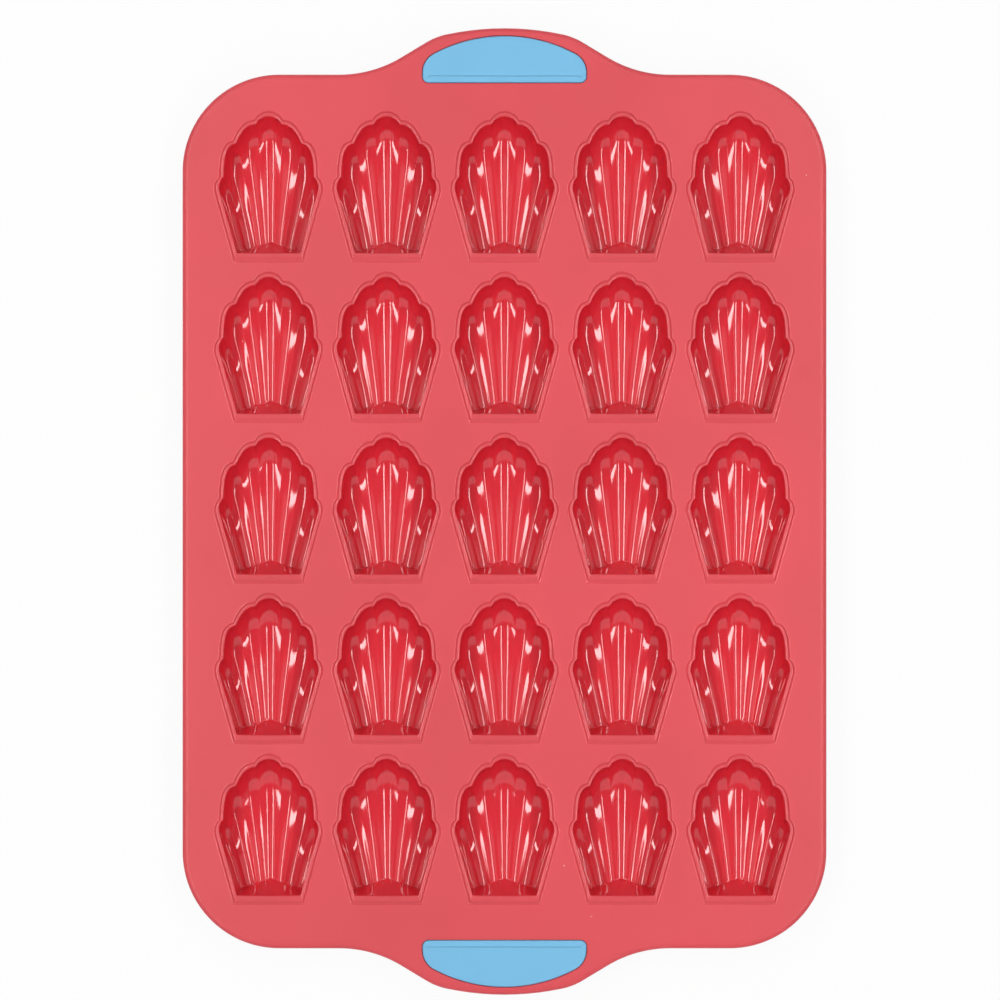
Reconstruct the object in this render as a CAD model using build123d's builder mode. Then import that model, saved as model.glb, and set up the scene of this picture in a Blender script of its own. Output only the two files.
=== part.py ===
from build123d import *
from math import radians, tan
import os

os.makedirs("parts", exist_ok=True)

# Silicone madeleine pan with 25 fluted shell cups, in mm.
# +Z is up, +Y is the end that the shells' lobed tips point to, +X is its right-hand side.
# The origin is the centre of the whole pan in plan, on the surface that the cups stand on.

# Driving dimensions: the cups and their grid
cup_columns = 5
cup_rows = 5
mouth_width = 40.9
mouth_length = 56.5
cup_depth = 14.0
silicone_wall = 1.2
bead_width = 1.84
bead_height = 1.0
web_across = 4.15
web_along = 6.18

# Driving dimensions: the shell's scoop, flutes and hinge end
floor_taper_share = 0.90
floor_centre_share = -0.58
scoop_shares = [(0.86, 0.52), (0.71, 0.83), (0.425, 1.0)]
hinge_foot_inset = 5.9
hinge_side_inset = 2.3
ridge_height = 1.5
ridge_reach = 2.6
ridge_width = 5.0
nose_width = 2.4
ridge_draft = 36.0
bead_centre_share = 0.22

# Half of the shell's mouth, from the tip to the hinge end, as shares of its half width and half length
mouth_shares = [
    (0.11, 1.0),
    (0.263, 0.88),
    (0.42, 0.872),
    (0.56, 0.765),
    (0.657, 0.602),
    (0.80, 0.56),
    (0.895, 0.37),
    (0.909, 0.112),
    (1.0, -0.03),
    (0.64, -1.0),
]
# Where each ridge leaves the wall, and where its nose ends, as shares of the same two sizes
ridge_shares = [
    ((0.27, 0.88), (0.083, -0.80)),
    ((0.657, 0.602), (0.29, -0.86)),
    ((0.909, 0.112), (0.505, -0.905)),
]

# Driving dimensions: the sheet, its rim and the handle tabs
deck_thickness = 1.8
side_margin = 11.42
tip_margin = 12.7
hinge_margin = 17.1
corner_radius = 40.0
edge_bevel = 1.2
tab_projection = 19.2
tab_root_width = 109.2
tab_flank_angle = 31.0
tab_crown_share = 1.0531
tab_shoulder_radius = 27.5
tab_root_radius = 50.0

# Driving dimensions: the wire frame inside the rim
wire_width = 2.6
wire_cover = 1.8
wire_clearance = 0.05

# Driving dimensions: the grips
grip_length = 67.8
grip_depth = 19.3
grip_crown_share = 0.914454
grip_shoulder_share = 1.3613
grip_corner = 2.6
grip_inset = 3.5
grip_floor = 0.7
grip_stand = 0.5
grip_clearance = 0.3

# Worked-out sizes
pitch_across = mouth_width + 2 * bead_width + web_across
pitch_along = mouth_length + 2 * bead_width + web_along
grid_width = cup_columns * pitch_across
grid_length = cup_rows * pitch_along
body_width = grid_width + 2 * side_margin
body_length = grid_length + tip_margin + hinge_margin
overall_length = body_length + 2 * tab_projection
grid_centre = (hinge_margin - tip_margin) / 2
deck_top = cup_depth + silicone_wall
deck_bottom = deck_top - deck_thickness
bead_top = deck_top + bead_height
rim_depth = wire_width + 2 * wire_cover
rim_width = rim_depth
wire_level = deck_top - rim_depth / 2
grip_sink = wire_cover - grip_floor
overrun = silicone_wall
floor_step = (floor_taper_share, floor_centre_share)
bead_step = (1 + 2 * bead_width / mouth_width, bead_centre_share)
wall_step = (1 + 2 * silicone_wall / mouth_width, 0.0)
tab_crown_radius = tab_crown_share * tab_root_width
grip_crown_radius = grip_crown_share * grip_length
grip_crown_drop = grip_crown_radius - (grip_crown_radius**2 - (grip_length / 2) ** 2) ** 0.5
grip_shoulder = grip_shoulder_share * (grip_depth - grip_crown_drop - grip_corner)
end_edge = body_width / 2 - corner_radius


def mouth_outline(*steps):
    """The outline of a shell's mouth, scaled at each step by a share about a point on its centre line."""
    half_width = mouth_width / 2
    half_length = mouth_length / 2
    right = [(x * half_width, y * half_length) for x, y in mouth_shares]
    for scale_share, centre_share in steps:
        centre = centre_share * half_length
        right = [(x * scale_share, centre + (y - centre) * scale_share) for x, y in right]
    left = [(-x, y) for x, y in reversed(right)]
    return right + left


def frustum(low_outline, low, high_outline, high):
    """A solid between two outlines of one shape, whose sides are parallel, so each of its faces is flat."""
    low_ring = [Vector(x, y, low) for x, y in low_outline]
    high_ring = [Vector(x, y, high) for x, y in high_outline]
    rings = [low_ring, high_ring]
    for i in range(len(low_ring)):
        rings.append([low_ring[i - 1], low_ring[i], high_ring[i], high_ring[i - 1]])
    return Solid(Shell([Face(Wire.make_polygon(ring)) for ring in rings]))


def scoop(grow, lift=0.0):
    """A wide prism over the side view of the shell: a sweep at the tip and a flat floor."""
    tip = mouth_length / 2
    with BuildPart() as body:
        with BuildSketch(Plane.YZ):
            with BuildLine():
                Polyline(
                    (-mouth_length, bead_top + overrun),
                    (mouth_length, bead_top + overrun),
                    (mouth_length, deck_top - scoop_shares[0][1] * cup_depth + lift),
                    *[(y * tip, deck_top - depth * cup_depth + lift) for y, depth in scoop_shares],
                    (-mouth_length, deck_top - cup_depth + lift),
                    close=True,
                )
            make_face()
            offset(amount=grow, kind=Kind.INTERSECTION)
        extrude(amount=mouth_width, both=True)
    return body.part


def hinge_wedge(back):
    """The slanted wall at the hinge end: it stands further into the shell in the middle than at the sides."""
    end = -mouth_length / 2
    side = mouth_shares[-1][0] * mouth_width / 2
    top_left = Vector(-side, end, bead_top)
    top_right = Vector(side, end, bead_top)
    foot = Vector(0, end + hinge_foot_inset, silicone_wall)
    foot_left = Vector(-side, end + hinge_side_inset, silicone_wall)
    foot_right = Vector(side, end + hinge_side_inset, silicone_wall)
    faces = [
        (foot, top_left, top_right),
        (foot, foot_left, top_left),
        (foot, top_right, foot_right),
    ]
    with BuildPart() as body:
        with BuildSketch(Plane.XY.offset(-overrun)):
            with Locations((0, end)):
                Rectangle(2 * mouth_width, 2 * (hinge_foot_inset + overrun))
        extrude(amount=bead_top + 2 * overrun)
        for a, b, c in faces:
            normal = (b - a).cross(c - a).normalized()
            split(bisect_by=Plane(origin=a, z_dir=normal).offset(-back), keep=Keep.BOTTOM)
    return body.part


def ridge_fins():
    """The six ridges between the flutes as drafted fins that narrow from the wall to the nose."""
    half_width = mouth_width / 2
    half_length = mouth_length / 2
    with BuildPart() as body:
        for (start_x, start_y), (nose_x, nose_y) in ridge_shares:
            for hand in (-1, 1):
                start = Vector(hand * start_x * half_width, start_y * half_length)
                nose = Vector(hand * nose_x * half_width, nose_y * half_length)
                run = nose - start
                base = Plane(origin=start + Vector(0, 0, silicone_wall), x_dir=run, z_dir=(0, 0, 1))
                with BuildSketch(base):
                    with BuildLine():
                        Polyline(
                            (0, -ridge_width / 2),
                            (run.length, -nose_width / 2),
                            (run.length, nose_width / 2),
                            (0, ridge_width / 2),
                            close=True,
                        )
                    make_face()
                extrude(amount=ridge_reach, taper=ridge_draft)
    return body.part


# Cup: a bead round the mouth, a lobed and tapering wall, a scooped floor and six ridges
with BuildPart() as cavity:
    add(frustum(mouth_outline(floor_step), silicone_wall, mouth_outline(), bead_top))
    add(scoop(0.0), mode=Mode.INTERSECT)
    add(hinge_wedge(0.0), mode=Mode.SUBTRACT)

with BuildPart() as ridges:
    add(ridge_fins())
    add(cavity.part, mode=Mode.INTERSECT)
    add(scoop(0.0, ridge_height), mode=Mode.SUBTRACT)

with BuildPart() as outside:
    add(frustum(mouth_outline(wall_step, floor_step), 0.0, mouth_outline(wall_step), deck_top))
    add(scoop(silicone_wall), mode=Mode.INTERSECT)
    add(hinge_wedge(silicone_wall), mode=Mode.SUBTRACT)

with BuildPart() as cup:
    with BuildSketch(Plane.XY.offset(deck_bottom)):
        Rectangle(pitch_across, pitch_along)
    extrude(amount=deck_thickness)
    add(outside.part)
    add(frustum(mouth_outline(bead_step), deck_top, mouth_outline(), bead_top))
    add(cavity.part, mode=Mode.SUBTRACT)
    add(ridges.part)

# Plan of the whole pan: a sheet with round corners and a crowned tab at each end
with BuildSketch() as tab_plan:
    with BuildLine():
        Polyline(
            (-tab_root_width / 2, 0),
            (tab_root_width / 2, 0),
            (0, tab_root_width / 2 * tan(radians(tab_flank_angle))),
            close=True,
        )
    make_face()
    with Locations((0, tab_projection - tab_crown_radius)):
        Circle(tab_crown_radius, mode=Mode.INTERSECT)
    fillet(tab_plan.vertices().group_by(Axis.Y)[-1], tab_shoulder_radius)

with BuildSketch() as pan_plan:
    RectangleRounded(body_width, body_length, corner_radius)
    with PolarLocations(body_length / 2, 2, 90):
        add(tab_plan.sketch, rotation=-90)
    inner_corners = [v for v in pan_plan.vertices() if abs(v.X) < end_edge - overrun]
    roots = [v for v in inner_corners if abs(v.Y) < body_length / 2 + overrun]
    fillet(roots, tab_root_radius)

# Plan of the grip at the back end: a D with its straight side towards the cups
with BuildSketch() as grip_plan:
    with Locations((0, overall_length / 2 - grip_inset)):
        Rectangle(grip_length, grip_depth, align=(Align.CENTER, Align.MAX))
    with Locations((0, overall_length / 2 - grip_inset - grip_crown_radius)):
        Circle(grip_crown_radius, mode=Mode.INTERSECT)
    fillet(grip_plan.vertices().group_by(Axis.Y)[0], grip_corner)
    fillet(grip_plan.vertices().group_by(Axis.Y)[-1], grip_shoulder)

with BuildSketch() as both_grips:
    add(grip_plan.sketch)
    add(grip_plan.sketch, rotation=180)

def wire_ring(clearance):
    """A closed ring in the middle of the rim's lip, with a clearance all round its square section."""
    half_section = wire_width / 2 + clearance
    with BuildPart() as ring:
        with BuildSketch(Plane.XY.offset(wire_level)):
            offset(pan_plan.sketch, amount=half_section - rim_width / 2)
            offset(pan_plan.sketch, amount=-half_section - rim_width / 2, mode=Mode.SUBTRACT)
        extrude(amount=half_section, both=True)
    return ring.part


# Wire frame: one ring that stiffens the rim and lies unseen in the lip's tunnel
wire_frame = wire_ring(0.0)
wire_frame.label = "wire_frame"
export_step(wire_frame, "parts/wire_frame.step")

# Rim: the flat margin round the cups, its deep lip with the wire's tunnel, and the seats for the grips
with BuildSketch() as lip_inside:
    offset(pan_plan.sketch, amount=-rim_width)

with BuildSketch() as lip_middle:
    offset(pan_plan.sketch, amount=-rim_width / 2)

with BuildSketch() as cup_field:
    with Locations((0, grid_centre)):
        Rectangle(grid_width, grid_length)
    add(lip_inside.sketch, mode=Mode.INTERSECT)

with BuildSketch() as tab_blocks:
    block_depth = grip_inset + grip_depth + rim_width / 2
    block_centre = (overall_length - block_depth) / 2
    with Locations((0, block_centre), (0, -block_centre)):
        Rectangle(grip_length + rim_width, block_depth)
    add(lip_middle.sketch, mode=Mode.INTERSECT)

with BuildPart() as rim:
    with BuildSketch(Plane.XY.offset(deck_bottom)):
        add(pan_plan.sketch)
        add(cup_field.sketch, mode=Mode.SUBTRACT)
    extrude(amount=deck_thickness)
    with BuildSketch(Plane.XY.offset(deck_top - rim_depth)):
        add(pan_plan.sketch)
        add(lip_inside.sketch, mode=Mode.SUBTRACT)
        add(tab_blocks.sketch)
    extrude(amount=rim_depth)
    chamfer(rim.faces().sort_by(Axis.Z)[-1].outer_wire().edges(), edge_bevel)
    with BuildSketch(Plane.XY.offset(deck_top - grip_sink)):
        offset(both_grips.sketch, amount=grip_clearance, mode=Mode.ADD)
    extrude(amount=grip_sink, mode=Mode.SUBTRACT)
    add(wire_ring(wire_clearance), mode=Mode.SUBTRACT)

rim.part.label = "rim"
export_step(rim.part, "parts/rim.step")

# Grips: one soft pad seated in each tab
for name, turn in (("grip_back", 0), ("grip_front", 180)):
    with BuildPart() as grip:
        with BuildSketch(Plane.XY.offset(deck_top - grip_sink)):
            add(grip_plan.sketch, rotation=turn)
        extrude(amount=grip_sink + grip_stand)
    grip.part.label = name
    export_step(grip.part, f"parts/{name}.step")

# The 25 cups in their grid, each with its share of the sheet, which the lip rounds off at the pan's corners
with BuildPart() as cup_space:
    with BuildSketch():
        add(cup_field.sketch)
    extrude(amount=bead_top)

for row in range(cup_rows):
    for column in range(cup_columns):
        across = (column - (cup_columns - 1) / 2) * pitch_across
        along = grid_centre + ((cup_rows - 1) / 2 - row) * pitch_along
        with BuildPart() as placed_cup:
            with Locations((across, along)):
                add(cup.part)
            add(cup_space.part, mode=Mode.INTERSECT)
        placed_cup.part.label = f"cup_r{row + 1}_c{column + 1}"
        export_step(placed_cup.part, f"parts/{placed_cup.part.label}.step")
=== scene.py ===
# %% [markdown]
# # A silicone madeleine pan
# This lesson dresses a imported CAD model of a baking mould: a red silicone sheet with 25 fluted
# shell cups and a blue grip pad in a tab at each end. The CAD model is loaded as a fixed frame.

# %% Load the frame
import math

import bpy
import numpy as np
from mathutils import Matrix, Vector


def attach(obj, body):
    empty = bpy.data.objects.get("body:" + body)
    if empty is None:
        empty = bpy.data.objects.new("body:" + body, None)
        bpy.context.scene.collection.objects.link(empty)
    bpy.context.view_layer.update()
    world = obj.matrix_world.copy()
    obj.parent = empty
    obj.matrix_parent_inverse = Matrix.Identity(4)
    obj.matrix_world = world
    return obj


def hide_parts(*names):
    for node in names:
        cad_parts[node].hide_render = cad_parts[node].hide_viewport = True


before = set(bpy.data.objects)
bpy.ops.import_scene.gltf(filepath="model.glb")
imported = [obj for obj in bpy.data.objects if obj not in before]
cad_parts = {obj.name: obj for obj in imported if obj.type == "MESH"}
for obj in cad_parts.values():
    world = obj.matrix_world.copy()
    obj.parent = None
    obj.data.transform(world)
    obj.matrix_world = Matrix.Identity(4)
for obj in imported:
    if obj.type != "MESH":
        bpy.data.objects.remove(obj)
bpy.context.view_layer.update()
MM = 0.001

# %% [markdown]
# ## The view
# The photograph looks straight down from far away, with the shells' lobed tips at the top. A long
# lens from straight above gives the same flat view. The camera looks along -Z and its top is +Y,
# so it needs no turn at all, only its place above the middle of the picture.

# %% Camera
PICTURE_WIDTH = 413.2 * MM
PICTURE_CENTRE = (-1.86 * MM, 4.75 * MM)
LENS = 120.0
SENSOR = 36.0
SHEET_TOP = 15.2

camera_height = SHEET_TOP * MM + PICTURE_WIDTH * LENS / SENSOR
bpy.ops.object.select_all(action="DESELECT")
bpy.ops.object.camera_add(location=(*PICTURE_CENTRE, camera_height), rotation=(0, 0, 0))
camera = bpy.context.object
camera.data.lens = LENS
camera.data.sensor_width = SENSOR
bpy.context.scene.camera = camera
bpy.context.scene.view_settings.view_transform = "Standard"
print("camera height:", round(camera_height, 3), "m")

# %% [markdown]
# ## The light
# Silicone shows its shape through soft reflections. The fine bright lines along the flutes come
# from two narrow softboxes at the sides, with their long side level and along the pan. A wide
# softbox at each end lights the lobed tips and the hinge walls. The sky differs by the kind of ray:
# its soft light is brightest overhead, reflections see it dim with one bright patch straight
# overhead, and the camera sees it plain white. Places and sides are in metres, powers in watts.


# %% Softboxes
def softbox(name, place, level_side, sloping_side, power):
    """A rectangular lamp at a place, turned to face the middle of the pan."""
    bpy.ops.object.light_add(type="AREA", location=place)
    lamp = bpy.context.object
    lamp.name = name
    lamp.data.shape = "RECTANGLE"
    lamp.data.size = level_side
    lamp.data.size_y = sloping_side
    lamp.data.energy = power
    lamp.rotation_euler = (-Vector(place)).to_track_quat("-Z", "Y").to_euler()


for side, name in ((-1, "softbox_left"), (1, "softbox_right")):
    softbox(name, (side * 0.60, 0.0, 1.04), level_side=1.25, sloping_side=0.17, power=5.2)
softbox("softbox_top_end", (0.0, 0.9, 1.0), level_side=1.5, sloping_side=0.7, power=2.5)
softbox("softbox_low_end", (0.0, -1.30, 0.90), level_side=2.4, sloping_side=1.0, power=4.0)

# %% World and floor
world = bpy.data.worlds.new("studio")
bpy.context.scene.world = world
world.use_nodes = True
sky = world.node_tree
sky.nodes.clear()
ray = sky.nodes.new("ShaderNodeLightPath")
direction = sky.nodes.new("ShaderNodeTexCoord")
split = sky.nodes.new("ShaderNodeSeparateXYZ")


def sky_ramp(tones, strength):
    """Light that depends on the height Z of a direction: pairs of height and tone."""
    ramp = sky.nodes.new("ShaderNodeValToRGB")
    for element, (height, tone) in zip(ramp.color_ramp.elements, (tones[0], tones[-1])):
        element.position = height
        element.color = (tone, tone, tone, 1)
    for height, tone in tones[1:-1]:
        ramp.color_ramp.elements.new(height).color = (tone, tone, tone, 1)
    light = sky.nodes.new("ShaderNodeBackground")
    light.inputs["Strength"].default_value = strength
    sky.links.new(split.outputs["Z"], ramp.inputs["Fac"])
    sky.links.new(ramp.outputs["Color"], light.inputs["Color"])
    return light


falling = sky_ramp([(0.2, 0.60), (0.9, 1.0)], strength=0.30)
mirrored = sky_ramp([(0.30, 0.35), (0.55, 0.20), (0.968, 0.20), (0.990, 1.0)], strength=0.62)
seen = sky.nodes.new("ShaderNodeBackground")
seen.inputs["Color"].default_value = (1, 1, 1, 1)
seen.inputs["Strength"].default_value = 1.0
sky_out = sky.nodes.new("ShaderNodeOutputWorld")
sky.links.new(direction.outputs["Generated"], split.inputs[0])
light = falling
for test, other in (("Is Glossy Ray", mirrored), ("Is Camera Ray", seen)):
    either = sky.nodes.new("ShaderNodeMixShader")
    sky.links.new(ray.outputs[test], either.inputs["Fac"])
    sky.links.new(light.outputs[0], either.inputs[1])
    sky.links.new(other.outputs[0], either.inputs[2])
    light = either
sky.links.new(light.outputs[0], sky_out.inputs["Surface"])

# The floor is white paper: the camera sees it mostly as plain white, and the rest of it is lit.
PLAIN_WHITE_SHARE = 0.93
FLOOR_SIDE = 8.0
FLOOR_GAP = 0.05
floor_paper = bpy.data.materials.new("floor_paper")
floor_paper.use_nodes = True
paper = floor_paper.node_tree
paper.nodes.clear()
paper_ray = paper.nodes.new("ShaderNodeLightPath")
share = paper.nodes.new("ShaderNodeMath")
share.operation = "MULTIPLY"
share.inputs[1].default_value = PLAIN_WHITE_SHARE
matt = paper.nodes.new("ShaderNodeBsdfDiffuse")
matt.inputs["Color"].default_value = (0.88, 0.88, 0.88, 1)
white = paper.nodes.new("ShaderNodeEmission")
white.inputs["Strength"].default_value = 1.0
blend = paper.nodes.new("ShaderNodeMixShader")
paper_out = paper.nodes.new("ShaderNodeOutputMaterial")
paper.links.new(paper_ray.outputs["Is Camera Ray"], share.inputs[0])
paper.links.new(share.outputs[0], blend.inputs["Fac"])
paper.links.new(matt.outputs[0], blend.inputs[1])
paper.links.new(white.outputs[0], blend.inputs[2])
paper.links.new(blend.outputs[0], paper_out.inputs["Surface"])

bpy.ops.object.select_all(action="DESELECT")
bpy.ops.mesh.primitive_plane_add(size=FLOOR_SIDE, location=(0, 0, -FLOOR_GAP * MM))
floor = bpy.context.object
floor.name = "floor"
floor.data.materials.append(floor_paper)

# %% [markdown]
# ## Finishes
# The sheet is satin: its mould was lightly blasted, so it has a fine grain and a soft veil of light
# over its red. That veil is painted sheen: the sheet's base colour is the red made paler. The bead has
# the same paler red with painted sheen and is somewhat glossier. The cups come from polished cores, so
# that cakes let go: they are glossy and keep the deeper red of the pigment. The grips are matt.
# Each finish is faintly cloudy, and every pattern is in Object coordinates.

# %% Silicone
CLOUD_SCALE = 14.0
SPECK_SCALE = 110.0
SMUDGE_SCALE = 45.0
GRAIN_SCALE = 1600.0
SPECK_RADIUS = 0.022
SMUDGE_SHARE = 0.12
GRAIN_HEIGHT = 0.05
DUST = (0.93, 0.82, 0.80)


def silicone(name, colour, shine, roughness, grain, cloud, specks):
    """Moulded silicone: one pigment with faint clouds, a fine grain and a few specks of dust."""
    material = bpy.data.materials.new(name)
    material.use_nodes = True
    tree = material.node_tree
    shader = tree.nodes["Principled BSDF"]
    shader.inputs["Specular IOR Level"].default_value = shine
    place = tree.nodes.new("ShaderNodeTexCoord")

    clouds = tree.nodes.new("ShaderNodeTexNoise")
    clouds.inputs["Scale"].default_value = CLOUD_SCALE
    clouds.inputs["Detail"].default_value = 4.0
    tone = tree.nodes.new("ShaderNodeValToRGB")
    tone.color_ramp.elements[0].position = 0.3
    tone.color_ramp.elements[0].color = (*[c * (1 - cloud) for c in colour], 1)
    tone.color_ramp.elements[1].position = 0.7
    tone.color_ramp.elements[1].color = (*[min(1.0, c * (1 + cloud)) for c in colour], 1)
    tree.links.new(place.outputs["Object"], clouds.inputs["Vector"])
    tree.links.new(clouds.outputs["Fac"], tone.inputs["Fac"])

    cells = tree.nodes.new("ShaderNodeTexVoronoi")
    cells.inputs["Scale"].default_value = SPECK_SCALE
    near = tree.nodes.new("ShaderNodeMath")
    near.operation = "LESS_THAN"
    near.inputs[1].default_value = SPECK_RADIUS
    chosen = tree.nodes.new("ShaderNodeSeparateColor")
    rare = tree.nodes.new("ShaderNodeMath")
    rare.operation = "GREATER_THAN"
    rare.inputs[1].default_value = 1 - specks
    both = tree.nodes.new("ShaderNodeMath")
    both.operation = "MULTIPLY"
    dusted = tree.nodes.new("ShaderNodeMix")
    dusted.data_type = "RGBA"
    dusted.inputs["B"].default_value = (*DUST, 1)
    tree.links.new(place.outputs["Object"], cells.inputs["Vector"])
    tree.links.new(cells.outputs["Distance"], near.inputs[0])
    tree.links.new(cells.outputs["Color"], chosen.inputs[0])
    tree.links.new(chosen.outputs[0], rare.inputs[0])
    tree.links.new(near.outputs[0], both.inputs[0])
    tree.links.new(rare.outputs[0], both.inputs[1])
    tree.links.new(both.outputs[0], dusted.inputs["Factor"])
    tree.links.new(tone.outputs["Color"], dusted.inputs["A"])
    tree.links.new(dusted.outputs["Result"], shader.inputs["Base Color"])

    smudge = tree.nodes.new("ShaderNodeTexNoise")
    smudge.inputs["Scale"].default_value = SMUDGE_SCALE
    smudge.inputs["Detail"].default_value = 3.0
    gloss = tree.nodes.new("ShaderNodeMapRange")
    gloss.inputs["To Min"].default_value = roughness * (1 - SMUDGE_SHARE)
    gloss.inputs["To Max"].default_value = roughness * (1 + SMUDGE_SHARE)
    tree.links.new(place.outputs["Object"], smudge.inputs["Vector"])
    tree.links.new(smudge.outputs["Fac"], gloss.inputs["Value"])
    tree.links.new(gloss.outputs["Result"], shader.inputs["Roughness"])

    texture = tree.nodes.new("ShaderNodeTexNoise")
    texture.inputs["Scale"].default_value = GRAIN_SCALE
    texture.inputs["Detail"].default_value = 2.0
    bump = tree.nodes.new("ShaderNodeBump")
    bump.inputs["Strength"].default_value = grain
    bump.inputs["Distance"].default_value = GRAIN_HEIGHT * MM
    tree.links.new(place.outputs["Object"], texture.inputs["Vector"])
    tree.links.new(texture.outputs["Fac"], bump.inputs["Height"])
    tree.links.new(bump.outputs["Normal"], shader.inputs["Normal"])
    return material


RED = (0.77, 0.026, 0.045)
# The sheet and the bead take the red made paler: the pale share is painted sheen, a veil of light
# painted into the base colour.
RED_WITH_PAINTED_SHEEN = (0.80, 0.069, 0.087)
BLUE = (0.20, 0.55, 0.85)
sheet_silicone = silicone(
    "sheet_silicone", RED_WITH_PAINTED_SHEEN, shine=0.7, roughness=0.44, grain=0.25, cloud=0.05, specks=0.30
)
bead_silicone = silicone(
    "bead_silicone", RED_WITH_PAINTED_SHEEN, shine=0.9, roughness=0.25, grain=0.10, cloud=0.05, specks=0.10
)
shell_silicone = silicone(
    "shell_silicone", RED, shine=1.0, roughness=0.09, grain=0.04, cloud=0.04, specks=0.10
)
grip_silicone = silicone(
    "grip_silicone", BLUE, shine=0.5, roughness=0.50, grain=0.30, cloud=0.03, specks=0.05
)

# %% Steel for the frame inside the rim
STEEL = (0.60, 0.60, 0.62)
steel = bpy.data.materials.new("frame_steel")
steel.use_nodes = True
steel_tree = steel.node_tree
steel_shader = steel_tree.nodes["Principled BSDF"]
steel_shader.inputs["Base Color"].default_value = (*STEEL, 1)
steel_shader.inputs["Metallic"].default_value = 1.0
steel_place = steel_tree.nodes.new("ShaderNodeTexCoord")
drawn = steel_tree.nodes.new("ShaderNodeTexNoise")
drawn.inputs["Scale"].default_value = 300.0
steel_range = steel_tree.nodes.new("ShaderNodeMapRange")
steel_range.inputs["To Min"].default_value = 0.25
steel_range.inputs["To Max"].default_value = 0.45
steel_tree.links.new(steel_place.outputs["Object"], drawn.inputs["Vector"])
steel_tree.links.new(drawn.outputs["Fac"], steel_range.inputs["Value"])
steel_tree.links.new(steel_range.outputs["Result"], steel_shader.inputs["Roughness"])
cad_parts["wire_frame"].data.materials.clear()
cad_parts["wire_frame"].data.materials.append(steel)

# %% [markdown]
# ## The outline of a shell
# A shell's mouth has seven lobes at its tip end, straight sides and a nearly straight hinge end.
# A circle or a box can't be edited into that, so the right half is drawn as curves between the
# notches and mirrored. Smoothing the closed line rounds every notch and corner a little, as
# in a real mould.

# %% The mouth
HALF_LENGTH = 28.25
notch_tip, notch_side, notch_low = (5.37, 24.85), (13.43, 17.0), (18.59, 3.16)
shoulder, corner = (20.45, -2.0), (13.1, -28.1)
LINE_STEP = 0.1
CURVE_POINTS = 60
SMOOTHINGS = 12


def curve(a, b, c, d):
    """Points on a Bezier curve from a to d, with b and c as its handles."""
    t = np.linspace(0, 1, CURVE_POINTS)[:, None]
    a, b, c, d = (np.array(p, float) for p in (a, b, c, d))
    return (1 - t) ** 3 * a + 3 * (1 - t) ** 2 * t * b + 3 * (1 - t) * t**2 * c + t**3 * d


runs = [
    curve((0, -HALF_LENGTH), (5, -HALF_LENGTH), (9, -28.22), corner),
    curve(corner, corner, shoulder, shoulder),
    curve(shoulder, (20.60, 0.3), (19.95, 2.4), notch_low),
    curve(notch_low, (18.6, 9.5), (18.1, 16.7), notch_side),
    curve(notch_side, (11.9, 21.5), (9.0, 25.2), notch_tip),
    curve(notch_tip, (3.9, 29.37), (-3.9, 29.37), (-notch_tip[0], notch_tip[1])),
]
runs[-1] = runs[-1][: CURVE_POINTS // 2 + 1]
half_line = np.concatenate([runs[0]] + [run[1:] for run in runs[1:]])
half_line[-1, 0] = 0.0
whole_line = np.concatenate([half_line, half_line[-2:0:-1] * (-1, 1)])
closed = np.concatenate([whole_line, whole_line[:1]])
lengths = np.concatenate([[0], np.cumsum(np.linalg.norm(np.diff(closed, axis=0), axis=1))])
perimeter = lengths[-1]
marks = lengths[np.cumsum([CURVE_POINTS - 1] * (len(runs) - 1))]
at_corner, at_shoulder, at_low, at_side, at_tip = marks

step_count = int(perimeter / LINE_STEP)
spots = np.arange(step_count) * perimeter / step_count
mouth = np.stack([np.interp(spots, lengths, closed[:, k]) for k in (0, 1)], axis=1)
for _ in range(SMOOTHINGS):
    mouth = (np.roll(mouth, 1, axis=0) + 2 * mouth + np.roll(mouth, -1, axis=0)) / 4


def on_mouth(distance):
    """The point of the smoothed outline at a distance along it from the middle of the hinge end."""
    spot = np.mod(distance, perimeter)
    joined = np.concatenate([mouth, mouth[:1]])
    along = np.append(spots, perimeter)
    return np.stack([np.interp(spot, along, joined[:, k]) for k in (0, 1)], axis=-1)


print("mouth:", np.round(mouth.max(0) - mouth.min(0), 2), "mm, line", round(perimeter, 1), "mm")

# %% [markdown]
# ## The fluted sheet of one cup
# The inside of a cup is one sheet of silicone: seven flutes fan out from the hinge end, six ridges
# stand between them, and the sheet sweeps up to the lobed tip. It starts as a plain grid whose
# columns run along the flutes. No operator makes flutes, so code moves the grid's points: first in
# plan, then to their height. In plan u counts the flutes across the cup, 0 in the middle one, with
# the ridges at the halves, and v runs from 0 at the hinge end to 1 at the lobed tip.

# %% Where the grid's points go in plan
SIDE_FLUTES = 3
EDGE_U = SIDE_FLUTES + 0.5
TOP, BOTTOM = 15.75, 1.2
ridge_feet = [1.5, 5.26, 9.66]
knots = np.arange(-EDGE_U, EDGE_U + 0.5)
tip_marks = np.array([at_shoulder, at_low, at_side, at_tip])
tip_knots = np.concatenate([perimeter - tip_marks, tip_marks[::-1]])
foot_knots = np.array([-at_corner, *[-f for f in ridge_feet[::-1]], *ridge_feet, at_corner])
bows = [0, 0.1, 0.45, 0.6, 0]


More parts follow.
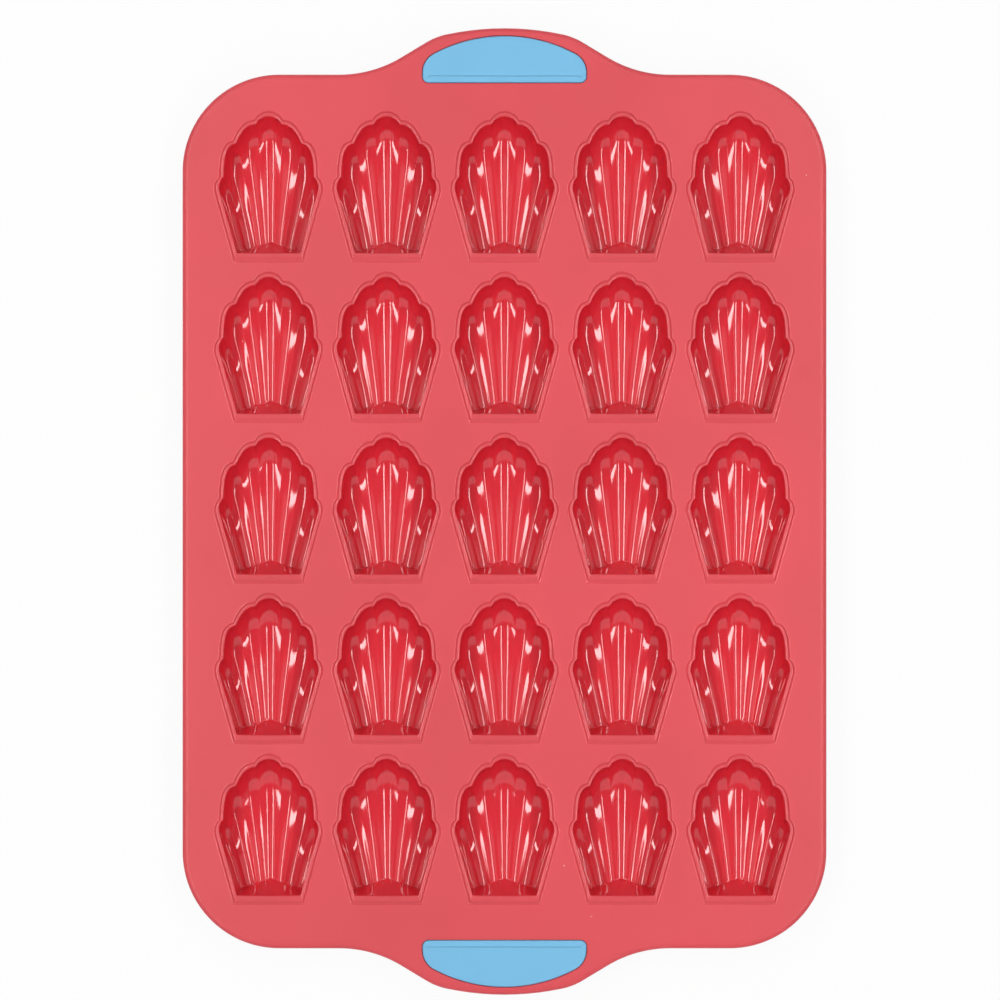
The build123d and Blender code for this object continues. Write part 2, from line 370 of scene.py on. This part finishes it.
def plan_point(u, v):
    """A point of the fan, with its ridges bowed inward and its sides on the mouth's outline."""
    foot = on_mouth(np.interp(u, knots, foot_knots))
    tip = on_mouth(np.interp(u, knots, tip_knots))
    side = on_mouth(np.sign(u) * (at_corner + (at_shoulder - at_corner) * v))
    v = np.asarray(v)[..., None]
    straight = (1 - v) * foot + v * tip
    edge_foot = on_mouth(np.sign(u) * at_corner)
    edge_tip = on_mouth(np.sign(u) * at_shoulder)
    weight = np.clip(np.abs(u) - SIDE_FLUTES + 0.5, 0, 1)[..., None] ** 2
    bow = np.sign(u) * np.interp(np.abs(u), [0, *knots[knots > 0]], bows)
    inward = 4 * v * (1 - v) * bow[..., None] * (1, 0)
    return straight - inward + weight * (side - (1 - v) * edge_foot - v * edge_tip)


# %% [markdown]
# ## Across one row
# A row of the grid is drawn by its tilt in degrees. From its lowest line a flute bends up to
# EDGE_TILT, breaks there to a nearly level shoulder that runs to the ridge, and falls behind the
# ridge to the next flute. Where it is tilted by LINE_TILT it mirrors a side softbox, so that is
# where a bright line lies. The columns follow these places and lie closest where the tilt changes.

# %% Profile of a row
LINE_TILT, EDGE_TILT, SHOULDER_TILT = 15.2, 20.5, 4.0
EDGE_ROUND, CREST_ROUND = 0.14, 0.10
# How far a bright line lies from its flute's lowest line: in mid cup, and per mm towards the tip.
LINE_MIDDLE, LINE_GROWTH = 1.13, 0.0135
LINE_LEAST, LINE_MOST = 0.8, 1.4
BEND_SHARE = 0.62
# Where along the cup the falls behind the ridges grow less steep, and by what share.
FADE_START, FADE_END, FADE_SHARE = 0.45, 0.75, 0.6
FALL_RUN_SHARE = 0.3
PROFILE_POINTS = 281
# For each flute from the middle out: where between its ridges its lowest line lies.
low_shares = [0, 0.364, 0.397, 0.574]
# For each ridge from the middle out: how steeply it falls, and how far at that tilt.
fall_tilts = [9.0, 15.2, 10.0]
fall_runs = [0.5, 0.9, 0.4]
# Columns from one place of the profile to the next.
FALL_STEPS, BEND_STEPS, SHOULDER_STEPS, SIDE_STEPS = [4, 3, 6], [8], [3, 2], [14]


def smooth_step(low, high, value):
    """0 below low, 1 above high, and a smooth rise between."""
    t = np.clip((value - low) / (high - low), 0, 1)
    return t * t * (3 - 2 * t)


def row_profile(v):
    """Half a row: places in mm, tilts, columns between them, and how far out each fine u lies."""
    fine_u = np.linspace(0, EDGE_U, PROFILE_POINTS)
    points = plan_point(fine_u, np.full(fine_u.shape, v))
    reach = np.concatenate([[0], np.cumsum(np.linalg.norm(np.diff(points, axis=0), axis=1))])
    line = np.clip(LINE_MIDDLE + LINE_GROWTH * points[0, 1], LINE_LEAST, LINE_MOST)
    places, tilts, counts = [0.0], [0.0], []
    for k in range(SIDE_FLUTES + 1):
        end = np.interp(k + 0.5, fine_u, reach)
        start = np.interp(k - 0.5, fine_u, reach) if k else 0.0
        low = start + low_shares[k] * (end - start)
        bend = min(line * EDGE_TILT / LINE_TILT, BEND_SHARE * (end - low))
        if k:
            fall = fall_tilts[k - 1] * (1 - FADE_SHARE * smooth_step(FADE_START, FADE_END, v))
            run = min(fall_runs[k - 1], FALL_RUN_SHARE * (low - start))
            places += [start + CREST_ROUND, start + CREST_ROUND + run, low]
            tilts += [-fall, -fall, 0]
            counts += FALL_STEPS
        places += [low + bend]
        tilts += [EDGE_TILT]
        counts += BEND_STEPS
        if k < SIDE_FLUTES:
            places += [low + bend + EDGE_ROUND, end - CREST_ROUND]
            tilts += [SHOULDER_TILT, SHOULDER_TILT]
            counts += SHOULDER_STEPS
        else:
            places += [end]
            tilts += [EDGE_TILT]
            counts += SIDE_STEPS
    return np.array(places), np.array(tilts), counts, reach, fine_u


def row_of_columns(v):
    """Where the columns cross one row, as values of u."""
    places, _, counts, reach, fine_u = row_profile(v)
    right = [0.0]
    for low, high, count in zip(places, places[1:], counts):
        right += list(np.linspace(low, high, count + 1)[1:])
    right = np.interp(right, reach, fine_u)
    return [*-right[:0:-1], *right]


rows_v = np.concatenate([
    [0, 0.008, 0.018, 0.029, 0.040, 0.051, 0.062, 0.072],
    [0.081, 0.090, 0.099, 0.108, 0.118, 0.130, 0.148],
    np.linspace(0.17, 0.60, 15),
    np.linspace(0.625, 0.95, 16),
    [0.965, 0.977, 0.986, 0.993, 1.0],
])
grid_u = np.array([row_of_columns(v) for v in rows_v])
grid_v = np.repeat(rows_v[:, None], grid_u.shape[1], axis=1)
grid_xy = plan_point(grid_u, grid_v)
ROWS, COLUMNS = grid_u.shape
print("grid:", COLUMNS, "columns by", ROWS, "rows")


# %% Heights of the fluted sheet
def smooth_max(a, b, fillet):
    """The higher of two heights, with a fillet where they cross."""
    h = np.clip(0.5 + 0.5 * (a - b) / fillet, 0, 1)
    return b * (1 - h) + a * h + fillet * h * (1 - h)


def to_outline(points):
    """The distance of each point from the mouth's outline."""
    run = np.roll(mouth, -1, axis=0) - mouth
    found = np.empty(len(points))
    for i, point in enumerate(points):
        offset = point - mouth
        t = np.clip((offset * run).sum(1) / (run * run).sum(1), 0, 1)[:, None]
        found[i] = np.sqrt(((offset - t * run) ** 2).sum(1).min())
    return found


# The steep sides: how far under the top they start, mm down for each mm inward, and their fillet.
WALL_DROP, WALL_SLOPE, WALL_FILLET = 0.6, 17.0, 2.4
# The hinge wall: how far it leans in at the middle, how that changes outward, and its fillet.
HINGE_INSET, HINGE_NARROWING, HINGE_ROUND, HINGE_BOW = 5.7, 0.42, 0.8, 0.0085
HINGE_FILLET = 0.9
DEEPEST_SHARE = 3
# The ridges' rounded ends by the hinge wall: where they lie, how wide they are, how they fade out.
NOSE_SHARE, NOSE_INSIDE, NOSE_OUTSIDE, NOSE_FADE = 0.30, -0.35, 0.55, 0.6
nose_places = [-22.9, -24.7, -25.9]
ROW_POINTS, SWEEP_POINTS = 1200, 761
# The sweep up to the tip: mm from the tip, the tilt there, and how long it is from flute to flute.
sweep_spots = [0, 1, 2, 3, 4.2, 5, 6, 8, 10, 12, 15, 19, 24, 30, 38]
sweep_tilts = [80, 72, 64, 56, 46, 40, 34, 25, 18.5, 13, 9, 6.5, 4, 1.8, 0]
sweep_shares = [1, 0.74, 0.50, 0.33, 0.30]
from_outline = to_outline(grid_xy.reshape(-1, 2)).reshape(ROWS, COLUMNS)

fine_spots = np.linspace(0, sweep_spots[-1], SWEEP_POINTS)
slopes = np.tan(np.radians(np.interp(fine_spots, sweep_spots, sweep_tilts)))
rise = np.cumsum((slopes * np.gradient(fine_spots))[::-1])[::-1]
rise = (rise - rise[-1]) * (TOP - BOTTOM) / (rise[0] - rise[-1])


def flute_heights(softness, depth):
    """Round-bottomed flutes between six ridges, from the tilts of each row's profile."""
    heights = np.empty((ROWS, COLUMNS))
    middle = COLUMNS // 2
    for i, v in enumerate(rows_v):
        places, tilts, _, reach, fine_u = row_profile(v)
        spots = np.linspace(0, places[-1], ROW_POINTS)
        gap = spots[1]
        slopes = np.tan(np.radians(np.interp(spots, places, tilts)))
        rises = np.concatenate([[0], np.cumsum((slopes[1:] + slopes[:-1]) / 2 * gap)])
        lows = [0, *[place for place, tilt in zip(places, tilts) if tilt == 0][1:]]
        base = np.interp(spots, lows, np.interp(lows, spots, rises))
        y = np.interp(spots, reach, plan_point(fine_u, np.full(fine_u.shape, v))[:, 1])
        for k in range(SIDE_FLUTES):
            crest = np.interp(k + 0.5, fine_u, reach)
            half = NOSE_SHARE * (crest - lows[k])
            centre = crest - half
            beyond = np.clip(nose_places[k] + half - y, 0, None)
            away = np.hypot(spots - centre, beyond) - half
            faded = smooth_step(NOSE_INSIDE, NOSE_OUTSIDE, away) * np.clip(beyond / NOSE_FADE, 0, 1)
            here = (spots >= lows[k]) & (spots < lows[k + 1])
            rises = np.where(here, base + (rises - base) * (1 - faded), rises)
        if softness:
            reaches = int(softness / gap)
            padded = np.concatenate([rises[reaches:0:-1], rises, np.full(reaches, rises[-1])])
            total = np.cumsum(np.concatenate([[0], padded]))
            rises = (total[2 * reaches + 1 :] - total[: -2 * reaches - 1]) / (2 * reaches + 1)
        across = np.interp(grid_u[i, middle:], fine_u, reach)
        right = np.interp(across, spots, rises)
        heights[i] = np.concatenate([right[:0:-1], right])
    return heights * depth


def sheet_heights(softness, depth):
    """The height of each grid point: a sweep up to the tip, flutes, steep sides and a hinge wall."""
    x, y = grid_xy[..., 0], grid_xy[..., 1]
    tip = on_mouth(np.interp(grid_u, knots, tip_knots))
    foot = on_mouth(np.interp(grid_u, knots, foot_knots))
    from_tip = (1 - grid_v) * np.linalg.norm(tip - foot, axis=-1)
    spot = from_tip / np.interp(np.abs(grid_u), [*range(SIDE_FLUTES + 1), EDGE_U], sweep_shares)
    sweep = BOTTOM + np.interp(spot, fine_spots, rise)
    height = sweep + flute_heights(softness, depth) * np.sqrt((TOP - sweep) / (TOP - BOTTOM))
    wall = TOP - WALL_DROP - WALL_SLOPE * from_outline
    height = smooth_max(height, wall, WALL_FILLET)
    inset = HINGE_INSET - HINGE_NARROWING * np.sqrt(x**2 + HINGE_ROUND) + HINGE_BOW * x**2
    slant = TOP - (TOP - BOTTOM) * np.clip((y + HALF_LENGTH) / inset, 0, DEEPEST_SHARE)
    height = np.minimum(smooth_max(height, slant, HINGE_FILLET), TOP)
    height[0], height[-1], height[:, 0], height[:, -1] = TOP, TOP, TOP, TOP
    return height


def make_fan(name, heights, every):
    """A grid of every so many rows and columns, with its points moved in plan and to their heights."""
    rows = sorted({*range(0, ROWS, every), ROWS - 1})
    columns = sorted({*range(0, COLUMNS, every), COLUMNS - 1})
    points = np.concatenate([grid_xy, heights[..., None]], axis=-1)[rows][:, columns] * MM
    bpy.ops.object.select_all(action="DESELECT")
    bpy.ops.mesh.primitive_grid_add(
        x_subdivisions=len(columns) - 1, y_subdivisions=len(rows) - 1, size=1
    )
    fan = bpy.context.object
    fan.name = name
    fan.data.vertices.foreach_set("co", points.astype(np.float32).ravel())
    fan.data.update()
    return fan


cup = make_fan("cup_model", sheet_heights(softness=0, depth=1.0), every=1)

# %% [markdown]
# ## The bead round the mouth
# A raised bead, about 2 mm wide, stiffens each mouth. By hand, the sheet's outer edge loop is
# extruded again and again, and each new loop is spread about the shell's middle and moved up or
# down. A spread keeps the lobes' shape, so the bead has no folds in the notches.

# %% Bead
SPREAD_CENTRE = 6.22
MOUTH_HALF_WIDTH = shoulder[0]


def spread_share(outward):
    """How much larger than the mouth a loop is that lies outward of it by so many mm at its sides."""
    return 1 + outward / MOUTH_HALF_WIDTH


def pull_loops(start, profile):
    """Extrudes the selected loop along a profile of (distance outward, height) pairs, in mm."""
    was_out, was_high = start
    for outward, high in profile:
        bpy.ops.mesh.extrude_region_move()
        share = spread_share(outward) / spread_share(was_out)
        bpy.ops.transform.resize(value=(share, share, 1), center_override=(0, SPREAD_CENTRE * MM, 0))
        bpy.ops.transform.translate(value=(0, 0, (high - was_high) * MM))
        was_out, was_high = outward, high


bead_profile = [
    (0.06, 15.90), (0.18, 16.03), (0.36, 16.13), (0.60, 16.18), (0.85, 16.20), (1.05, 16.18),
    (1.25, 16.11), (1.42, 15.99), (1.57, 15.82), (1.71, 15.61), (1.85, 15.42), (2.00, 15.30),
    (2.15, 15.235), (2.30, 15.22), (2.30, 14.85),
]
inside_faces = len(cup.data.polygons)
bpy.ops.object.mode_set(mode="EDIT")
bpy.ops.mesh.select_all(action="SELECT")
bpy.ops.mesh.region_to_loop()
pull_loops((0, TOP), bead_profile)
bpy.ops.object.mode_set(mode="OBJECT")
cup.data.materials.append(shell_silicone)
cup.data.materials.append(bead_silicone)
for polygon in cup.data.polygons:
    polygon.material_index = int(polygon.index >= inside_faces)
print("cup inside and bead:", len(cup.data.polygons), "faces")

# %% [markdown]
# ## The underside of the cup
# Seen from below, a cup is a rounded boat with shallow grooves under the ridges. It takes every
# second row and column of the same grid, with softer and lower ridges, pushed out by the wall's
# thickness and turned to face down. Its top is cut off level, and the edge is flared to run into
# the underside of the sheet.


# %% Underside
def join(first, *others):
    """Joins other pieces into the first one."""
    bpy.ops.object.select_all(action="DESELECT")
    for piece in (first, *others):
        piece.select_set(True)
    bpy.context.view_layer.objects.active = first
    bpy.ops.object.join()


WALL = 1.2
CUT_HEIGHT = 12.2
CUT_OUTWARD = 0.9
flare = [(1.0, 12.75), (1.2, 13.12), (1.5, 13.31), (2.0, 13.38), (2.3, 13.385), (2.3, 14.5)]
under = make_fan("cup_underside", sheet_heights(softness=1.2, depth=0.7), every=2)
bpy.ops.object.mode_set(mode="EDIT")
bpy.ops.mesh.select_all(action="SELECT")
bpy.ops.transform.shrink_fatten(value=-WALL * MM)
bpy.ops.mesh.flip_normals()
bpy.ops.mesh.bisect(
    plane_co=(0, 0, CUT_HEIGHT * MM), plane_no=(0, 0, 1), clear_outer=True, clear_inner=False
)
bpy.ops.mesh.select_all(action="SELECT")
bpy.ops.mesh.region_to_loop()
pull_loops((CUT_OUTWARD, CUT_HEIGHT), flare)
bpy.ops.object.mode_set(mode="OBJECT")
under.data.materials.append(shell_silicone)

join(cup, under)
bpy.ops.object.mode_set(mode="EDIT")
bpy.ops.mesh.select_all(action="DESELECT")
bpy.ops.mesh.select_mode(type="EDGE")
bpy.ops.mesh.select_non_manifold()
bpy.ops.mesh.bridge_edge_loops()
bpy.ops.mesh.select_all(action="SELECT")
bpy.ops.mesh.quads_convert_to_tris()
bpy.ops.object.mode_set(mode="OBJECT")
bpy.ops.object.shade_smooth_by_angle(angle=math.radians(50))
low = [min(v.co[k] for v in cup.data.vertices) / MM for k in range(3)]
high = [max(v.co[k] for v in cup.data.vertices) / MM for k in range(3)]
print("one cup:", len(cup.data.polygons), "triangles,", np.round(low, 2), np.round(high, 2))

# %% [markdown]
# ## Twenty-five cups
# The cup is copied to its 25 places. Each copy has a mesh of its own, and its place is in that
# mesh, so the object stays at the origin, as every CAD node does.

# %% Copies
CUPS = 5
PITCH = (48.73, 66.36)
GRID_CENTRE = 2.2


def copy_to(model, name, place):
    """A copy of a model with a mesh of its own, whose points are moved to a place."""
    copy = bpy.data.objects.new(name, model.data.copy())
    bpy.context.scene.collection.objects.link(copy)
    points = np.array([v.co + place for v in model.data.vertices], np.float32)
    copy.data.vertices.foreach_set("co", points.ravel())
    copy.data.update()
    return copy


def settle(piece, node):
    """A finished piece moves with the pan and hides the CAD node that it stands for."""
    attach(piece, "root")
    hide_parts(node)


cup_places = {}
for row in range(CUPS):
    for column in range(CUPS):
        across = (column - (CUPS - 1) / 2) * PITCH[0] * MM
        along = (GRID_CENTRE + ((CUPS - 1) / 2 - row) * PITCH[1]) * MM
        cup_places[f"r{row + 1}_c{column + 1}"] = Vector((across, along, 0))

for label, place in cup_places.items():
    settle(copy_to(cup, f"shell_{label}", place), f"cup_{label}")
bpy.data.objects.remove(cup)
print("cups:", len(cup_places))

# %% [markdown]
# ## The sheet, its rim and the tabs
# The sheet is a plate with round corners and a crowned tab at each end, and a deeper lip all round.
# By hand, a circle is shaped to the outline, filled and extruded up. The lip is left by insetting
# the underside and pushing it up. Bevels round the edges, and one boolean cuts all the openings.

# %% Outline of the pan
HALF_WIDTH, END_EDGE, TAB_END = 133.245, 180.8, 200.0
CORNER, ROOT, SHOULDER, CROWN = 40.0, 50.0, 27.5, 115.0
CROWN_END, SHOULDER_END = 78.0, 59.0
SHOULDER_CENTRE = (18.2, 170.6)
ROOT_X = 68.47
LEAST_GAP = 0.05
arcs = [
    ((0, TAB_END - CROWN), CROWN, 90.0, CROWN_END, 5),
    (SHOULDER_CENTRE, SHOULDER, CROWN_END, SHOULDER_END, 7),
    ((ROOT_X, END_EDGE + ROOT), ROOT, 180 + SHOULDER_END, 270.0, 12),
    ((HALF_WIDTH - CORNER, END_EDGE - CORNER), CORNER, 90.0, 0.0, 30),
]


def arc_points(arcs, grow=0.0):
    """Points along a row of arcs, each grown by so many mm, with no two nearly in one place."""
    points = []
    for (cx, cy), radius, first, last, count in arcs:
        reach = radius + grow
        for angle in np.radians(np.linspace(first, last, count + 1)):
            points.append((cx + reach * math.cos(angle), cy + reach * math.sin(angle)))
    return [p for i, p in enumerate(points) if i == 0 or math.dist(p, points[i - 1]) > LEAST_GAP]


quarter = arc_points(arcs)
right_side = quarter + [(x, -y) for x, y in reversed(quarter)]
pan_line = right_side + [(-x, y) for x, y in reversed(right_side)]
pan_line = [p for i, p in enumerate(pan_line) if math.dist(p, pan_line[i - 1]) > LEAST_GAP]


def start_outline(name, points, height):
    """A circle with its points moved to an outline, in mm, at a height."""
    bpy.ops.object.select_all(action="DESELECT")
    bpy.ops.mesh.primitive_circle_add(vertices=len(points), radius=1, fill_type="NOTHING")
    outline = bpy.context.object
    outline.name = name
    places = [(x * MM, y * MM, height * MM) for x, y in points]
    outline.data.vertices.foreach_set("co", np.array(places, np.float32).ravel())
    outline.data.update()
    return outline


def fill_and_extrude(depth):
    """Fills the outline in edit mode and extrudes it up by so many mm, with its faces outwards."""
    bpy.ops.mesh.select_all(action="SELECT")
    bpy.ops.mesh.edge_face_add()
    bpy.ops.mesh.extrude_region_move(TRANSFORM_OT_translate={"value": (0, 0, depth * MM)})
    bpy.ops.mesh.select_all(action="SELECT")
    bpy.ops.mesh.normals_make_consistent(inside=False)


def select_faces(piece, wanted):
    """Selects the faces of a piece in edit mode whose centre and normal pass a test."""
    bpy.ops.object.mode_set(mode="OBJECT")
    for polygon in piece.data.polygons:
        polygon.select = bool(wanted(polygon.center / MM, polygon.normal))
    for edge in piece.data.edges:
        edge.select = False
    for vertex in piece.data.vertices:
        vertex.select = False
    for polygon in piece.data.polygons:
        if polygon.select:
            for index in polygon.vertices:
                piece.data.vertices[index].select = True
    bpy.ops.object.mode_set(mode="EDIT")
    bpy.ops.mesh.select_mode(type="FACE")


def round_border(radius, segments):
    """Rounds the edge loop round the selected faces."""
    bpy.ops.mesh.region_to_loop()
    bpy.ops.mesh.bevel(offset=radius * MM, segments=segments, profile=0.5, affect="EDGES")


LIP_WIDTH, LIP_BOTTOM, SHEET_BOTTOM = 6.2, 9.0, 13.4
EDGE_RADIUS, LIP_INNER_RADIUS, LIP_EDGE_RADIUS = 2.3, 1.2, 0.9
BORDER = 0.8
FACING, LEVEL, NEAR = 0.9, 0.99, 0.01
sheet = start_outline("sheet", pan_line[::-1], LIP_BOTTOM)
bpy.ops.object.mode_set(mode="EDIT")
fill_and_extrude(SHEET_TOP - LIP_BOTTOM)
select_faces(sheet, lambda centre, normal: normal.z > FACING)
round_border(EDGE_RADIUS, segments=6)
select_faces(sheet, lambda centre, normal: normal.z > LEVEL and centre.z > SHEET_TOP - NEAR)
bpy.ops.mesh.inset(thickness=BORDER * MM)
select_faces(sheet, lambda centre, normal: normal.z < -FACING)
bpy.ops.mesh.inset(thickness=LIP_WIDTH * MM)
bpy.ops.mesh.extrude_region_move(
    TRANSFORM_OT_translate={"value": (0, 0, (SHEET_BOTTOM - LIP_BOTTOM) * MM)}
)
round_border(LIP_INNER_RADIUS, segments=4)
select_faces(sheet, lambda centre, normal: normal.z < -LEVEL and centre.z > SHEET_BOTTOM - NEAR)
bpy.ops.mesh.inset(thickness=BORDER * MM)
select_faces(sheet, lambda centre, normal: normal.z < -FACING and centre.z < LIP_BOTTOM + NEAR)
round_border(LIP_EDGE_RADIUS, segments=4)
bpy.ops.object.mode_set(mode="OBJECT")
print("sheet before its openings:", len(sheet.data.polygons), "faces")

# %% Outline of a grip
GRIP_TOP_EDGE, GRIP_DEPTH, GRIP_HALF = 196.5, 19.3, 33.9
GRIP_CROWN, GRIP_SHOULDER, GRIP_CORNER = 62.0, 9.0, 2.6
GRIP_CROWN_END = 62.0
GRIP_SHOULDER_Y = 181.29
GRIP_LOW_EDGE = GRIP_TOP_EDGE - GRIP_DEPTH
grip_arcs = [
    ((0, GRIP_TOP_EDGE - GRIP_CROWN), GRIP_CROWN, 90.0, GRIP_CROWN_END, 14),
    ((GRIP_HALF - GRIP_SHOULDER, GRIP_SHOULDER_Y), GRIP_SHOULDER, GRIP_CROWN_END, 0.0, 12),
    ((GRIP_HALF - GRIP_CORNER, GRIP_LOW_EDGE + GRIP_CORNER), GRIP_CORNER, 0.0, -90.0, 8),
]


def grip_line(grow):
    """The D outline of the grip at the top end, grown by so many mm."""
    right = arc_points(grip_arcs, grow)
    return right + [(-x, y) for x, y in reversed(right) if x > LEAST_GAP]


# %% Openings
SEAT_FLOOR, CUTTER_TOP = 14.1, 17.0
SEAT_CLEARANCE = 0.3
HOLE_OUTWARD = 2.0
HOLE_EVERY = 12


def seat_cutter(name, turn):
    """A closed prism over the outline of a grip's seat, at the top end or turned to the other."""
    seat_line = [(x * turn, y * turn) for x, y in grip_line(SEAT_CLEARANCE)]
    prism = start_outline(name, seat_line, SEAT_FLOOR)
    bpy.ops.object.mode_set(mode="EDIT")
    fill_and_extrude(CUTTER_TOP - SEAT_FLOOR)
    bpy.ops.object.mode_set(mode="OBJECT")
    return prism


def spread(points, outward):
    """An outline spread about the shell's middle by so many mm at its sides."""
    share = spread_share(outward)
    return [(x * share, SPREAD_CENTRE + (y - SPREAD_CENTRE) * share) for x, y in points]


hole = start_outline("hole", spread(mouth[::HOLE_EVERY], HOLE_OUTWARD), LIP_BOTTOM)
bpy.ops.object.mode_set(mode="EDIT")
bpy.ops.mesh.select_all(action="SELECT")
bpy.ops.mesh.edge_face_add()
bpy.ops.mesh.select_all(action="SELECT")
bpy.ops.mesh.region_to_loop()
pull_loops((HOLE_OUTWARD, LIP_BOTTOM), [(HOLE_OUTWARD, CUTTER_TOP)])
bpy.ops.mesh.edge_face_add()
bpy.ops.mesh.select_all(action="SELECT")
bpy.ops.mesh.normals_make_consistent(inside=False)
bpy.ops.object.mode_set(mode="OBJECT")

cutter = seat_cutter("seat_back", 1)
others = [seat_cutter("seat_front", -1)]
others += [copy_to(hole, "hole_copy", place) for place in cup_places.values()]
bpy.data.objects.remove(hole)
join(cutter, *others)

bpy.ops.object.select_all(action="DESELECT")
sheet.select_set(True)
bpy.context.view_layer.objects.active = sheet
cut = sheet.modifiers.new("openings", "BOOLEAN")
cut.operation = "DIFFERENCE"
cut.solver = "EXACT"
cut.object = cutter
bpy.ops.object.modifier_apply(modifier=cut.name)
bpy.data.objects.remove(cutter)
bpy.ops.object.mode_set(mode="EDIT")
bpy.ops.mesh.select_all(action="SELECT")
bpy.ops.mesh.quads_convert_to_tris(quad_method="BEAUTY", ngon_method="BEAUTY")
bpy.ops.object.mode_set(mode="OBJECT")
bpy.ops.object.shade_smooth_by_angle(angle=math.radians(25))
sheet.data.materials.append(sheet_silicone)
settle(sheet, "rim")
print("sheet:", len(sheet.data.polygons), "triangles")

# %% [markdown]
# ## The grips
# Each grip is a D-shaped pad that lies in a seat in its tab, with its straight side towards the
# cups. It stands half a millimetre proud and its top edge is round. It starts as a filled outline
# that is extruded and bevelled, and three insets give its face a slight crown.

# %% Grips
GRIP_THICKNESS = 1.5
GRIP_EDGE_RADIUS = 0.75
crown_steps = [(1.2, 0.05), (2.0, 0.04), (2.6, 0.01)]


def make_grip(name, turn, node):
    """One grip at the top end, or turned half a turn to the other end."""
    points = [(x * turn, y * turn) for x, y in grip_line(0.0)]
    grip = start_outline(name, points, SEAT_FLOOR)
    bpy.ops.object.mode_set(mode="EDIT")
    fill_and_extrude(GRIP_THICKNESS)
    select_faces(grip, lambda centre, normal: normal.z > FACING)
    round_border(GRIP_EDGE_RADIUS, segments=5)
    for inset, rise in crown_steps:
        face = max(grip.data.polygons, key=lambda polygon: polygon.area * polygon.normal.z)
        middle = face.center / MM
        select_faces(grip, lambda centre, normal: (centre - middle).length < NEAR)
        bpy.ops.mesh.inset(thickness=inset * MM, depth=rise * MM)
    bpy.ops.object.mode_set(mode="OBJECT")
    bpy.ops.object.shade_smooth_by_angle(angle=math.radians(40))
    grip.data.materials.append(grip_silicone)
    settle(grip, node)
    print(name, len(grip.data.polygons), "faces")


make_grip("grip_pad_back", 1, "grip_back")
make_grip("grip_pad_front", -1, "grip_front")
